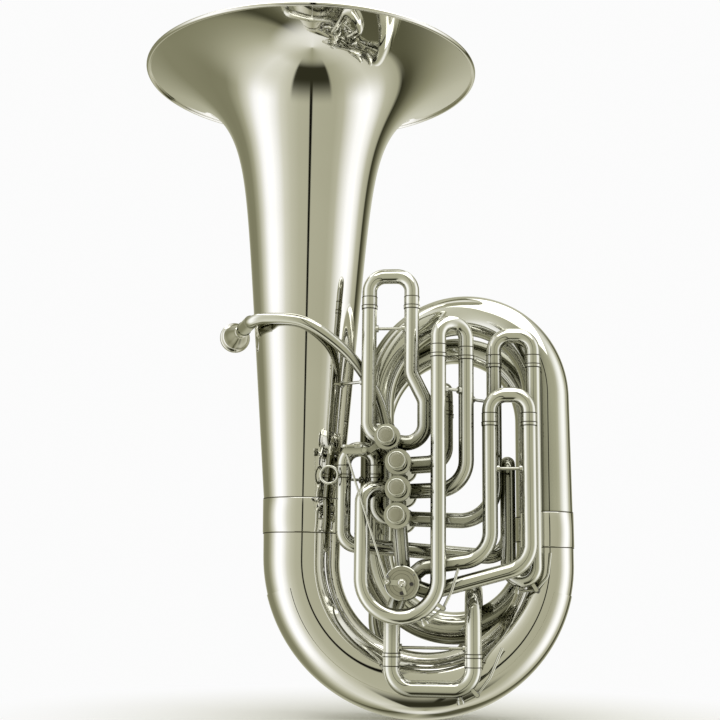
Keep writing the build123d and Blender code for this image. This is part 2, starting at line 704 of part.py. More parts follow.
def half_gap(a, b):
    """Largest equal bend between two parallel legs."""
    return (a - b).length / 2 - least_run / 2


with BuildPart() as slide_1:
    slide(first_left[0], first_right[0], first_top, corner_r)
keep(slide_1.part, "slide_1")

with BuildPart() as slide_2:
    slide(second_front[0], second_back[0], second_top, half_gap(second_front[0], second_back[0]), reach=30)
keep(slide_2.part, "slide_2")

with BuildPart() as slide_3:
    slide(third_left[-1], third_right[0], third_top, half_gap(third_left[-1], third_right[0]))
keep(slide_3.part, "slide_3")

with BuildPart() as slide_4:
    slide(fourth_out[-1], fourth_crook[0], fourth_top, corner_r)
keep(slide_4.part, "slide_4")

with BuildPart() as slide_4_return:
    slide(fourth_crook[-1], fourth_home[0], back_top, half_gap(fourth_crook[-1], fourth_home[0]), reach=25)
keep(slide_4_return.part, "slide_4_return")

with BuildPart() as slide_5:
    slide(fifth_left[-1], fifth_right[0], fifth_top, corner_r)
keep(slide_5.part, "slide_5")

with BuildPart() as main_tuning_slide:
    slide(main_left[0], main_right[0], main_bottom_z, main_corner_r, main_tube_r, main_insert,
          seat=(main_key, main_corner))
keep(main_tuning_slide.part, "main_tuning_slide")

# ---------------------------------------------------------------- rotary valve
rotor_r = rotor_casing_r - rotor_casing_wall - rotor_gap
rotor_length = rotor_back_y - rotor_front_y
rotor_ports = [fifth_left[:2], fifth_right[:1:-1], link_main[::-1], main_left[:0:-1]]
with BuildPart() as rotor_casing:
    bar(rotor_axis(rotor_front_y), BACK, rotor_casing_r, rotor_length, rotor_casing_r - rotor_casing_wall)
    for centre, beyond in rotor_ports:
        bar(centre, beyond - centre, port_bore, 2 * rotor_casing_r, mode=Mode.SUBTRACT)
keep(rotor_casing.part, "rotor_casing")

with BuildPart() as rotor_front_plate:
    bar(rotor_axis(rotor_front_y), FRONT, rotor_casing_r + cap_wall, rotor_plate, rotor_stem_r + pivot_gap)
keep(rotor_front_plate.part, "rotor_front_plate")

with BuildPart() as rotor_back_plate:
    bar(rotor_axis(rotor_back_y), BACK, rotor_casing_r + cap_wall, rotor_plate, rotor_stem_r + pivot_gap)
    bar(rotor_axis(rotor_back_y + rotor_plate + 2), BACK, rotor_casing_r * 0.6, 2)
    bar(rotor_axis(rotor_back_y + rotor_plate), BACK, rotor_casing_r * 0.6, 2, rotor_casing_r * 0.45)
keep(rotor_back_plate.part, "rotor_back_plate")

with BuildPart() as rotor:
    end_play = 0.2
    bar(rotor_axis(rotor_front_y + end_play), BACK, rotor_r, rotor_length - 2 * end_play)
    stem_front = rotor_plate + stop_arm_gap + stop_arm_thick + end_play
    bar(rotor_axis(rotor_front_y + end_play), FRONT, rotor_stem_r, stem_front)
    bar(rotor_axis(rotor_back_y - end_play), BACK, rotor_stem_r, rotor_plate + end_play)
    groove_y = (rotor_main_y + fifth_y) / 2
    for side in (-1, 1):
        with BuildSketch(Plane(origin=rotor_axis(groove_y - port_bore), z_dir=BACK)) as groove:
            with Locations((side * rotor_r * 1.25, 0)):
                Circle(rotor_r * 0.9)
        extrude(groove.sketch, amount=2 * port_bore, mode=Mode.SUBTRACT)
keep(rotor.part, "rotor")


def from_rotor(reach, degrees, y):
    """A point at a distance and an angle from the rotor's axis, seen from the front."""
    turn = math.radians(degrees)
    return at(rotor_x + reach * math.cos(turn), y, rotor_z + reach * math.sin(turn))


# The rod runs straight down to the stop arm's pin.  The pin's arc is centred on the rod's line.
pin_angle = 180 + rod_tilt - rotor_swing / 2
arm_front_y = rotor_front_y - rotor_plate - stop_arm_gap
stop_pin = from_rotor(stop_pin_reach, pin_angle, arm_front_y)
rod_low = Vector(stop_pin.X, rod_y, stop_pin.Z)
rod_line = Vector(math.sin(math.radians(rod_tilt)), 0, -math.cos(math.radians(rod_tilt)))
rod_top = rod_low - rod_line * rod_length
pin_chord = 2 * stop_pin_reach * math.sin(math.radians(rotor_swing / 2))
lever_half_swing = math.asin(pin_chord / 2 / lever_reach)
square = Vector(-rod_line.Z, 0, rod_line.X)
lever_pivot = rod_top + rod_line * (pin_chord / 2) + square * (lever_reach * math.cos(lever_half_swing))


tail_angle = -90 + math.degrees((cork_r + 2.2) / cork_reach)
with BuildPart() as stop_arm:
    plate(rotor_axis(0), stop_pin, arm_front_y, 3.4, stop_arm_thick)
    plate(rotor_axis(0), from_rotor(cork_reach + 1, tail_angle, 0), arm_front_y, 2.0, stop_arm_thick)
    bar(rotor_axis(arm_front_y), FRONT, rotor_stem_r + 2.5, stop_arm_thick)
    bar(rotor_axis(arm_front_y), FRONT, rotor_stem_r, stop_arm_thick, mode=Mode.SUBTRACT)
    bar(stop_pin, FRONT, stop_pin_r, arm_front_y - rod_y + rod_eye_h / 2 + 1)
keep(stop_arm.part, "stop_arm")

with BuildPart() as stop_corks:
    for degrees in (-90, tail_angle + rotor_swing + math.degrees((cork_r + 2.2) / cork_reach)):
        bar(from_rotor(cork_reach, degrees, rotor_front_y - rotor_plate), FRONT, cork_r, stop_arm_gap + stop_arm_thick)
keep(stop_corks.part, "stop_corks")

with BuildPart() as linkage_rod:
    bar(rod_top + rod_line * (rod_eye_r - 1), rod_line, rod_r, rod_length - 2 * rod_eye_r + 2)
    for eye, bore in ((rod_top, stop_pin_r + pivot_gap), (rod_low, stop_pin_r + rod_play)):
        bar(eye + FRONT * (-rod_eye_h / 2), FRONT, rod_eye_r, rod_eye_h)
        bar(eye + FRONT * -rod_eye_h, FRONT, bore, 2 * rod_eye_h, mode=Mode.SUBTRACT)
keep(linkage_rod.part, "linkage_rod")

lever_back_y = rod_y - rod_eye_h / 2 - 0.4
with BuildPart() as thumb_lever:
    plate(rod_top, lever_pivot, lever_back_y, 4.0, lever_thick)
    bar(Vector(rod_top.X, lever_back_y, rod_top.Z), BACK, stop_pin_r, rod_eye_h + 0.8)
    pad_centre = rod_top + (lever_pivot - rod_top) * 0.35 + UP * 5
    with BuildSketch(Plane(origin=Vector(pad_centre.X, lever_back_y - lever_thick / 2, pad_centre.Z))) as pad:
        SlotOverall(paddle[0], paddle[1])
    extrude(pad.sketch, amount=paddle[2])
    plate(rod_top, Vector(pad_centre.X, 0, pad_centre.Z), lever_back_y, 3.0, lever_thick)
    bar(Vector(lever_pivot.X, lever_back_y + 1, lever_pivot.Z), FRONT, lever_post_r * 0.6 + pivot_gap,
        lever_thick + 4, mode=Mode.SUBTRACT)
keep(thumb_lever.part, "thumb_lever")

with BuildPart() as lever_post:
    post_back_y = casing_front_y + cap_skirt + 3
    foot = Vector(lever_pivot.X, post_back_y, lever_pivot.Z)
    bar(foot, FRONT, lever_post_r, post_back_y - lever_back_y - 0.3)
    bar(foot, FRONT, lever_post_r * 0.6, post_back_y - lever_back_y + lever_thick + 0.6)
    bar(Vector(foot.X, lever_back_y - lever_thick - 0.3, foot.Z), FRONT, lever_post_r, 1.2)
    plate(foot, valve(1, 0), post_back_y + 6, lever_post_r + 1, 6)
    cut_casings()
keep(lever_post.part, "lever_post")

# ---------------------------------------------------------------- water keys
def water_key(place):
    """Key lever with its barrel and cup, and the cork that closes the nipple."""
    foot, away, hinge, thumb = place
    cork = foot + away * (nipple_h + key_rest_gap)
    cup = cork + away * cork_h
    pipe([cup + away * key_cup_h / 2, hinge, *thumb], [7, 18], key_arm_r)
    bar(cup, away, key_cup_r, key_cup_h)
    bar(hinge - BACK * key_barrel_l / 2, BACK, key_barrel_r, key_barrel_l)
    bar(hinge - BACK * key_barrel_l, BACK, key_pin_r + pivot_gap, 2 * key_barrel_l, mode=Mode.SUBTRACT)
    bar(cork - away * 2 * cork_h, away, key_cup_r, 3 * cork_h, mode=Mode.SUBTRACT)
    bar(cork, away, key_cup_r - 0.6, cork_h)


for name, place in (("water_key_main", main_key), ("water_key_third", third_key), ("water_key_fourth", crook_key)):
    with BuildPart() as key:
        water_key(place)
    keep(key.part, name)

# ---------------------------------------------------------------- thumb ring and braces
ring_centre = at(back_x0 - 18, back_y - tube_r - 9, back_mouth - ring_h / 2)
ring_right = ring_centre + Vector(thumb_ring_r, 0, 0)
with BuildPart() as thumb_ring:
    with BuildSketch(Plane(origin=ring_right, z_dir=(0, 0, 1))) as wire:
        Circle(thumb_ring_wire)
    revolve(wire.sketch, axis=Axis(ring_centre, BACK))
    tube_axis = at(back_x0, back_y, ring_centre.Z)
    bar(ring_right, tube_axis - ring_right, thumb_ring_wire, (tube_axis - ring_right).length)
    bar(tube_axis - UP * ring_h, UP, tube_r + ring_wall, 2 * ring_h, mode=Mode.SUBTRACT)
keep(thumb_ring.part, "thumb_ring")


def brace(a, a_r, b, b_r):
    """Stay between two upright tubes with round feet on both."""
    run_ab = (b - a).normalized()
    bar(a, run_ab, brace_r, (b - a).length)
    bar(a, run_ab, brace_foot_r, a_r + brace_foot_h)
    bar(b, run_ab * -1, brace_foot_r, b_r + brace_foot_h)
    for foot, radius in ((a, a_r), (b, b_r)):
        bar(foot - UP * 2 * brace_foot_r, UP, radius, 4 * brace_foot_r, mode=Mode.SUBTRACT)


tube_stays = [
    ((first_x0, first_y), tube_r, (first_x1, first_y), tube_r, 540),
    ((third_x0, third_y0), tube_r, (third_x1, third_y1), tube_r, 447),
    ((third_x1, third_y1), tube_r, (fourth_x0, fourth_y), tube_r, 436),
    ((fifth_x0, fifth_y), tube_r, (fifth_x1, fifth_y), tube_r, 340),
    ((fifth_x1, fifth_y), tube_r, (fourth_x1, fourth_y), tube_r, 365),
    ((main_left_x, main_slide_y), main_tube_r, (leg5_x, main_slide_y), main_tube_r, 100),
    (LEG2, leg2_r, LEG4, leg4_r, 330),
    (BELL, bell_radius(465) - 1, (first_x0, first_y), tube_r, 465),
    (BELL, bell_radius(335) - 1, LEG2, leg2_r, 335),
    (LEG1, leg1_r, LEG3, leg3_r, 330),
    (LEG1, leg1_r, (fourth_x1, fourth_y), tube_r, 345),
]
casing_stay_x, casing_stay_z = 119.0, 375.0
bell_low, bell_mid, bell_high = 300.0, 520.0, 580.0
with BuildPart() as braces:
    for a, a_r, b, b_r, z in tube_stays:
        brace(at(*a, z), a_r, at(*b, z), b_r)
    stay_foot = at(casing_stay_x, casing_back_y + bottom_cap, casing_stay_z)
    bar(stay_foot, BACK, brace_foot_r - 1, leg2_y - casing_back_y - bottom_cap)
    bar(at(*LEG2, casing_stay_z - brace_foot_r), UP, leg2_r, 2 * brace_foot_r, mode=Mode.SUBTRACT)
    lead_stay = leadpipe_route[2]
    bar(lead_stay, BACK, brace_r, 30)
    bar(lead_stay, BACK, brace_foot_r, leadpipe_r + brace_foot_h)
    pipe(leadpipe_route, leadpipe_bends, leadpipe_r, mode=Mode.SUBTRACT)
    for low, high in ((bell_low, bell_mid), (bell_mid, bell_high)):
        cone(at(0, 0, low), at(0, 0, high), bell_radius(low), bell_radius(high), Mode.SUBTRACT)
    cone(at(*LEG1, branch_joint_z), at(*LEG1, top_bow_z), bow_out_r, leg1_r, Mode.SUBTRACT)
keep(braces.part, "braces")
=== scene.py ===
import json
import math

import bpy
from mathutils import Matrix, Vector


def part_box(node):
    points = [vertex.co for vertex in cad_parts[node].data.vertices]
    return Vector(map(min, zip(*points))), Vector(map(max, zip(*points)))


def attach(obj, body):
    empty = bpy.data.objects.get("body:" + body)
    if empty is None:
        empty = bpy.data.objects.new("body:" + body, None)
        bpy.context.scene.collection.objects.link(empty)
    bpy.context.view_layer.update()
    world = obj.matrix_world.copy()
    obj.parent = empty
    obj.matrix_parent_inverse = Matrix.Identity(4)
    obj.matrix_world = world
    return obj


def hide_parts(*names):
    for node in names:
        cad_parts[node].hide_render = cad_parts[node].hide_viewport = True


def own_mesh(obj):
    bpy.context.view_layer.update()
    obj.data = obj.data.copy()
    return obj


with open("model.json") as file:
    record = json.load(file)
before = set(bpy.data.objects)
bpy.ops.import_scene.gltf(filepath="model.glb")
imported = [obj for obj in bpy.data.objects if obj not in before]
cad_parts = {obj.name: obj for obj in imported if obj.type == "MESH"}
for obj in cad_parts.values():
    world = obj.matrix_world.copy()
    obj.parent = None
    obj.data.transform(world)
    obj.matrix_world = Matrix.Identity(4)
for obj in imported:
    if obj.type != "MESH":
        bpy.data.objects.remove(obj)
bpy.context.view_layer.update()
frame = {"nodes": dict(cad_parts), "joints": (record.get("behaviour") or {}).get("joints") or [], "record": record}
record = frame["record"]
UP = Vector((0, 0, 1))
FRONT = Vector((0, -1, 0))

# ---------------------------------------------------------------- main tubing, in metres
bell_low, bell_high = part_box("bell")
bell_x = (bell_low.x + bell_high.x) / 2
rim_z = bell_high.z
rim_radius = (bell_high.x - bell_low.x) / 2
bell_joint_z = bell_low.z
bead_r = 0.0034                 # rolled rim of the bell
land = 0.0005                   # flat on the rolled rim
wall = 0.0012
stem_radius = 0.056
stem_taper = 0.08
flare_length = 0.050
half_ferrule = 0.024
flare_start_z = bell_joint_z + half_ferrule

bow_in_r, bow_out_r = 0.0546, 0.036
bell_foot_r = bow_in_r + (stem_radius - bow_in_r) * 0.7
bell_ferrule_r = bow_in_r + (stem_radius - bow_in_r) * 0.45
guard_reach, guard_drop = 0.012, 0.040  # how far inside the bow and under its bend the wear plate ends
bow_span = 0.348
bell_ferrule_lift = 0.034
branch_ferrule_lift = 0.017
bow_z = bell_joint_z - half_ferrule - bell_ferrule_lift
BELL = (0.0, 0.0)
LEG1 = (bow_span, 0.0)
LEG2 = (0.102, 0.052)
LEG3 = (0.327, 0.062)
LEG4 = (0.104, 0.098)
LEG5 = (0.245, 0.098)
leg1_r, leg2_r, leg3_r, leg4_r, leg5_r = 0.033, 0.0245, 0.0215, 0.017, 0.0115
branch_joint_z = bow_z + branch_ferrule_lift + half_ferrule
top_z, second_bottom_z, second_top_z, third_z = 0.451, 0.236, 0.421, 0.133
joint2_z, joint3_z, joint4_z = 0.400, 0.265, 0.290
half_branch_ferrule = 0.017
branch_wall = 0.0011


def at(x, y, z):
    """A point given from the bell axis."""
    return Vector((bell_x + x, y, z))


# ---------------------------------------------------------------- materials
def new_material(name):
    """Empty node material with a Principled shader; returns the material, its nodes, links and shader."""
    material = bpy.data.materials.new(name)
    material.use_nodes = True
    nodes = material.node_tree.nodes
    return material, nodes, material.node_tree.links, nodes["Principled BSDF"]


def noise_of(nodes, links, scale, detail=2.0):
    """Noise in the object's own metres."""
    place = nodes.new("ShaderNodeTexCoord")
    noise = nodes.new("ShaderNodeTexNoise")
    noise.inputs["Scale"].default_value = scale
    noise.inputs["Detail"].default_value = detail
    links.new(place.outputs["Object"], noise.inputs["Vector"])
    return noise.outputs["Fac"]


def ramp_of(nodes, links, factor, low, high, start=0.3, end=0.7):
    """Colour that goes from low to high with a factor."""
    ramp = nodes.new("ShaderNodeValToRGB")
    ramp.color_ramp.elements[0].position = start
    ramp.color_ramp.elements[1].position = end
    ramp.color_ramp.elements[0].color = (*low, 1)
    ramp.color_ramp.elements[1].color = (*high, 1)
    links.new(factor, ramp.inputs["Fac"])
    return ramp.outputs["Color"]


def range_of(nodes, links, factor, low, high, start=0.3, end=0.7):
    """Number that goes from low to high with a factor."""
    spread = nodes.new("ShaderNodeMapRange")
    spread.inputs["From Min"].default_value = start
    spread.inputs["From Max"].default_value = end
    spread.inputs["To Min"].default_value = low
    spread.inputs["To Max"].default_value = high
    links.new(factor, spread.inputs["Value"])
    return spread.outputs["Result"]


def bump_of(nodes, links, factor, shader, strength, distance):
    """Fine relief from a factor."""
    bump = nodes.new("ShaderNodeBump")
    bump.inputs["Strength"].default_value = strength
    bump.inputs["Distance"].default_value = distance
    links.new(factor, bump.inputs["Height"])
    links.new(bump.outputs["Normal"], shader.inputs["Normal"])


def painted_crevice_shade_tone(nodes, links, tone, crevice_shade_colour):
    """Tone darkened towards a dark olive where tubes lie close together: painted shade from ambient occlusion."""
    # Ambient occlusion drives the mix: painted shade in the crevices between tubes.
    open_share = nodes.new("ShaderNodeAmbientOcclusion")
    open_share.samples = 8
    open_share.inputs["Distance"].default_value = 0.07
    reach = range_of(nodes, links, open_share.outputs["AO"], 0.0, 1.0, 0.30, 0.90)
    mix = nodes.new("ShaderNodeMix")
    mix.data_type = "RGBA"
    links.new(reach, mix.inputs["Factor"])
    mix.inputs[6].default_value = (*crevice_shade_colour, 1)
    links.new(tone, mix.inputs[7])
    return mix.outputs[2]


def metal(name, light, dark, rough, relief=0.02, crevice_shade_colour=None):
    """Plated or bare metal: tone drifts over the surface, with fine polishing marks."""
    material, nodes, links, shader = new_material(name)
    shader.inputs["Metallic"].default_value = 1.0
    tone = ramp_of(nodes, links, noise_of(nodes, links, 9.0), dark, light)
    # Optional painted shade: the tone darkens where tubes crowd together.
    if crevice_shade_colour:
        tone = painted_crevice_shade_tone(nodes, links, tone, crevice_shade_colour)
    links.new(tone, shader.inputs["Base Color"])
    gloss = range_of(nodes, links, noise_of(nodes, links, 26.0, 4.0), rough[0], rough[1])
    links.new(gloss, shader.inputs["Roughness"])
    bump_of(nodes, links, noise_of(nodes, links, 1400.0), shader, relief, 0.00002)
    return material


def matt(name, light, dark, rough, scale, relief):
    """Felt, cork or rubber: grainy tone and relief."""
    material, nodes, links, shader = new_material(name)
    grain = noise_of(nodes, links, scale, 5.0)
    links.new(ramp_of(nodes, links, grain, dark, light), shader.inputs["Base Color"])
    shader.inputs["Roughness"].default_value = rough
    bump_of(nodes, links, grain, shader, relief, 0.0004)
    return material


silver = metal("polished_silver", (0.93, 0.92, 0.89), (0.88, 0.87, 0.83), (0.015, 0.045))
# Darker copy of the polished silver for the tubes: its lower tone paints in the shade of the wrap, and it also
# carries painted crevice shade.
tubing = metal("tube_silver_with_painted_shade", (0.87, 0.87, 0.82), (0.80, 0.80, 0.74), (0.02, 0.06),
               crevice_shade_colour=(0.13, 0.13, 0.08))
# Near-black rings for joints and scribed lines: partly tarnished seams, partly painted shade of the steps, gaps
# and grooves.
tarnish_and_shade_line = metal("joint_tarnish_and_painted_shade", (0.10, 0.09, 0.06), (0.05, 0.045, 0.03), (0.35, 0.5), relief=0.3)
brushed_silver = metal("turned_silver", (0.78, 0.77, 0.70), (0.70, 0.69, 0.62), (0.20, 0.30), relief=0.10)
satin = metal("satin_face", (0.60, 0.59, 0.51), (0.54, 0.53, 0.45), (0.30, 0.40), relief=0.15)
monel = metal("lapped_monel", (0.70, 0.68, 0.63), (0.62, 0.60, 0.55), (0.12, 0.2))
steel = metal("spring_steel", (0.50, 0.50, 0.51), (0.40, 0.40, 0.41), (0.18, 0.3))
brass = metal("turned_brass", (0.83, 0.66, 0.36), (0.74, 0.57, 0.30), (0.15, 0.25))
felt = matt("pressed_felt", (0.20, 0.15, 0.12), (0.10, 0.07, 0.06), 0.95, 900.0, 0.8)
cork = matt("dark_cork", (0.06, 0.055, 0.05), (0.02, 0.018, 0.016), 0.8, 700.0, 0.5)
slot_material = {
    "silver_plate": tubing, "monel": monel, "spring_steel": steel,
    "rotor_brass": brass, "felt": felt, "cork": cork,
}
for part in record["subparts"]:
    node = frame["nodes"][part["node"]]
    node.data.materials.clear()
    node.data.materials.append(slot_material[part["material_slot"]])
frame["nodes"]["rotor_front_plate"].data.materials[0] = satin


# ---------------------------------------------------------------- mesh helpers
def mesh_piece(name, verts, faces, body, material, crease=35.0):
    """New smooth-shaded piece that rides on a body."""
    mesh = bpy.data.meshes.new(name)
    mesh.from_pydata([tuple(v) for v in verts], [], faces)
    mesh.validate()
    mesh.shade_smooth()
    mesh.set_sharp_from_angle(angle=math.radians(crease))
    mesh.materials.append(material)
    piece = bpy.data.objects.new(name, mesh)
    bpy.context.scene.collection.objects.link(piece)
    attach(piece, body)
    return piece


def loop_mesh(loops, close_along=True):
    """Vertices and quads of closed loops joined in a row, and the last back to the first."""
    verts = [point for loop in loops for point in loop]
    faces = []
    count = len(loops[0])
    rows = len(loops) if close_along else len(loops) - 1
    for row in range(rows):
        here = row * count
        there = (row + 1) % len(loops) * count
        for i in range(count):
            j = (i + 1) % count
            faces.append((here + i, here + j, there + j, there + i))
    return verts, faces


def spokes(side, other, steps):
    """Unit vectors all round, from one direction towards another."""
    turns = [2 * math.pi * i / steps for i in range(steps)]
    return [side * math.cos(t) + other * math.sin(t) for t in turns]


def across(axis):
    """Unit vector along an axis, and two square to it and to each other."""
    axis = axis.normalized()
    side = axis.orthogonal().normalized()
    return axis, side, axis.cross(side)


def circle(centre, axis, radius, steps):
    """Points round a circle square to an axis."""
    _, side, other = across(axis)
    return [centre + spoke * radius for spoke in spokes(side, other, steps)]


def capped_mesh(loops, first_out=True):
    """Closed loops joined in a row, with a flat face over the first and the last."""
    verts, faces = loop_mesh(loops, close_along=False)
    first = tuple(range(len(loops[0])))
    last = tuple(range(len(verts) - len(loops[-1]), len(verts)))
    faces.append(first[::-1] if first_out else first)
    faces.append(last if first_out else last[::-1])
    return verts, faces


def lathe(foot, axis, profile, steps=64):
    """Verts and faces of a closed profile turned about an axis; profile is (distance along, radius)."""
    axis = axis.normalized()
    loops = [circle(foot + axis * along, axis, max(radius, 1e-6), steps) for along, radius in profile]
    return loop_mesh(loops)


def arc_profile(along, radius, reach, start, end, steps):
    """Round part of a profile, angles in degrees from the axis."""
    turns = [math.radians(start + (end - start) * i / steps) for i in range(steps + 1)]
    return [(along + reach * math.cos(t), radius + reach * math.sin(t)) for t in turns]


# ---------------------------------------------------------------- bell
def bell_radius(z):
    """Outer radius: a steady taper and an exponential flare."""
    rim_x = rim_radius - bead_r
    bead_z = rim_z - bead_r + land
    gain = rim_x - stem_radius - stem_taper * (bead_z - flare_start_z)
    return stem_radius + stem_taper * (z - flare_start_z) + gain * math.exp((z - bead_z) / flare_length)


def make_bell():
    """Flared shell with its rolled rim."""
    bead_z = rim_z - bead_r + land
    steps = 150
    top = bead_z - 0.0006
    heights = [top - (top - flare_start_z) * (1 - i / steps) ** 2.0 for i in range(steps + 1)]
    outer = [(z, bell_radius(z)) for z in heights]
    bead = arc_profile(bead_z, rim_radius - bead_r, bead_r, 192, 55, 14)
    lip = [(rim_z, rim_radius - bead_r + 0.0016), (rim_z, rim_radius - bead_r - 0.0016)]
    back = arc_profile(bead_z, rim_radius - bead_r, bead_r, -55, -120, 8)
    inner = [(z, radius - wall) for z, radius in reversed(outer)][3:]
    start = [(bell_joint_z, bell_foot_r)]
    end = [(bell_joint_z, bell_foot_r - wall)]
    profile = start + outer[:-1] + bead + lip + back + inner + end
    verts, faces = lathe(at(0, 0, 0), UP, profile, steps=288)
    piece = mesh_piece("bell_shell", verts, faces, "horn", silver)
    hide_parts("bell", "rim_wire")


# ---------------------------------------------------------------- bows
leg_steps = 6


def bow_stations(leg_a, z_a, r_a0, leg_b, z_b, r_b0, z, rise, r_a, r_b, steps=72):
    """Centre, run and radius along a leg, a half-round bend and the next leg."""
    a = at(*leg_a, z)
    b = at(*leg_b, z)
    out = (a - b) * 0.5
    middle = (a + b) * 0.5
    up = UP * rise * out.length
    stations = []
    for i in range(leg_steps):
        share = i / leg_steps
        stations.append((at(*leg_a, z_a + (z - z_a) * share), up, r_a0 + (r_a - r_a0) * share))
    for i in range(steps + 1):
        turn = math.pi * i / steps
        centre = middle + out * math.cos(turn) + up * math.sin(turn)
        stations.append((centre, up * math.cos(turn) - out * math.sin(turn), r_a + (r_b - r_a) * i / steps))
    for i in range(1, leg_steps + 1):
        share = i / leg_steps
        stations.append((at(*leg_b, z + (z_b - z) * share), up * -1, r_b + (r_b0 - r_b) * share))
    return stations, out.cross(up).normalized()


def swept(stations, side, shell, steps=72):
    """Closed shell along stations, walls on both faces."""
    loops = []
    for inset, row in ((0.0, stations), (shell, reversed(stations))):
        for centre, run, radius in row:
            round_it = spokes(side, run.normalized().cross(side), steps)
            loops.append([centre + spoke * (radius - inset) for spoke in round_it])
    return loop_mesh(loops)


def make_bows():
    """The five bends of the main tubing."""
    rows = [
        ("bottom_bow_shell", "bottom_bow", wall,
         (BELL, bell_joint_z, bell_foot_r, LEG1, branch_joint_z, bow_out_r, bow_z, -1, bow_in_r, bow_out_r)),
        ("top_bow_shell", "top_bow", branch_wall,
         (LEG1, branch_joint_z, bow_out_r, LEG2, joint2_z, leg2_r, top_z, 1, leg1_r, leg2_r)),
        ("second_bottom_bow_shell", "second_bottom_bow", branch_wall,
         (LEG2, joint2_z, leg2_r, LEG3, joint3_z, leg3_r, second_bottom_z, -1, leg2_r, leg3_r)),
        ("second_top_bow_shell", "second_top_bow", branch_wall,
         (LEG3, joint3_z, leg3_r, LEG4, joint4_z, leg4_r, second_top_z, 1, leg3_r, leg4_r)),
        ("third_bow_shell", "third_bow", branch_wall,
         (LEG4, joint4_z, leg4_r, LEG5, third_z, leg5_r, third_z, -1, leg4_r, leg5_r)),
    ]
    for name, node, shell, ends in rows:
        stations, side = bow_stations(*ends)
        if node == "third_bow":
            stations = stations[:-leg_steps]
        verts, faces = swept(stations, side, shell)
        # The bottom bow keeps the bright silver; the other bows take the darker copy with painted shade.
        material = silver if node == "bottom_bow" else tubing
        piece = mesh_piece(name, verts, faces, "horn", material)
        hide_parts(node)


def make_guard():
    """Wear plate round the outside of the bottom bow."""
    stations, side = bow_stations(BELL, bell_joint_z, bow_in_r, LEG1, branch_joint_z, bow_out_r,
                                  bow_z, -1, bow_in_r, bow_out_r, steps=120)
    middle_x = at(bow_span / 2, 0, 0).x
    plate_wall, air, arc_steps = 0.00100, 0.00006, 48
    loops = []
    for centre, run, radius in stations:
        if centre.z > bow_z - guard_drop:
            continue
        other = run.normalized().cross(side)
        outward = (centre - Vector((middle_x, centre.y, bow_z))).normalized()
        if other.dot(outward) < 0:
            other = -other
        half = math.acos(guard_reach / radius)
        arc = [half * (2 * i / arc_steps - 1) for i in range(arc_steps + 1)]
        ways = [side * math.sin(t) + other * math.cos(t) for t in arc]
        skin = [centre + way * (radius + air + plate_wall) for way in ways]
        under = [centre + way * (radius + air) for way in reversed(ways)]
        loops.append(skin + under)
    verts, faces = capped_mesh(loops, first_out=False)
    piece = mesh_piece("guard_plate", verts, faces, "horn", silver)
    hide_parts("bow_guard")


def rings(name, places, body, material, thick, height, steps=72):
    """Low rings round tubes, from (centre of the lower edge, axis, tube radius)."""
    verts, faces = [], []
    for foot, axis, radius in places:
        profile = [(0, radius - thick), (0, radius + thick * 0.6), (height * 0.3, radius + thick),
                   (height * 0.7, radius + thick), (height, radius + thick * 0.6), (height, radius - thick)]
        more, quads = lathe(foot, axis, profile, steps)
        base = len(verts)
        verts += more
        faces += [tuple(base + i for i in quad) for quad in quads]
    return mesh_piece(name, verts, faces, body, material, crease=60)


line_high, line_thick = 0.0011, 0.00045


def make_ferrules():
    """Sleeves over the joints of the main tubing, with a dark line at both ends: partly tarnished seam, partly
    painted shade of the step.
    """
    edge, thick, sunk = 0.0009, 0.0011, 0.0002
    rows = [
        (BELL, bell_joint_z - half_ferrule, 2 * half_ferrule, bell_ferrule_r, stem_radius),
        (LEG1, branch_joint_z - half_ferrule, 2 * half_ferrule, bow_out_r, bow_out_r - 0.0004),
        (LEG2, joint2_z - half_branch_ferrule, 2 * half_branch_ferrule, leg2_r, leg2_r),
        (LEG3, joint3_z - half_branch_ferrule, 2 * half_branch_ferrule, leg3_r, leg3_r),
        (LEG4, joint4_z - half_branch_ferrule, 2 * half_branch_ferrule, leg4_r, leg4_r),
        (LEG5, third_z, half_branch_ferrule, leg5_r, leg5_r),
    ]
    lines = []
    for number, (leg, foot_z, height, r0, r1) in enumerate(rows, 1):
        profile = [(0, r0 - sunk), (0, r0 + thick * 0.4), (edge, r0 + thick), (height - edge, r1 + thick),
                   (height, r1 + thick * 0.4), (height, r1 - sunk)]
        verts, faces = lathe(at(*leg, foot_z), UP, profile, steps=144)
        # The first two ferrules keep the bright silver; the rest take the darker copy with painted shade.
        material = silver if number < 3 else tubing
        piece = mesh_piece(f"ferrule_{number}", verts, faces, "horn", material, crease=50)
        if number == 1:
            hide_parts("main_ferrules")
        lines.append((at(*leg, foot_z - line_high), UP, r0 + line_thick))
        lines.append((at(*leg, foot_z + height), UP, r1 + line_thick))
    rings("ferrule_lines", lines, "horn", tarnish_and_shade_line, line_thick, line_high, 144)


# ---------------------------------------------------------------- leadpipe and mouthpiece
receiver_mouth = at(-0.086, -0.035, 0.548)
run = Vector((-0.406, 0.913, -0.03)).normalized()
shank_depth = 0.022
leadpipe_radius, leadpipe_wall = 0.0078, 0.0009


def smooth_path(points, per_span=16):
    """Points of a curve that runs smoothly through the given ones."""
    path = []
    ends = [points[0] * 2 - points[1]] + points + [points[-1] * 2 - points[-2]]
    for p0, p1, p2, p3 in zip(ends, ends[1:], ends[2:], ends[3:]):
        for i in range(per_span):
            t = i / per_span
            path.append(0.5 * (2 * p1 + (p2 - p0) * t + (2 * p0 - 5 * p1 + 4 * p2 - p3) * t ** 2
                               + (3 * p1 - p0 - 3 * p2 + p3) * t ** 3))
    return path + [points[-1]]


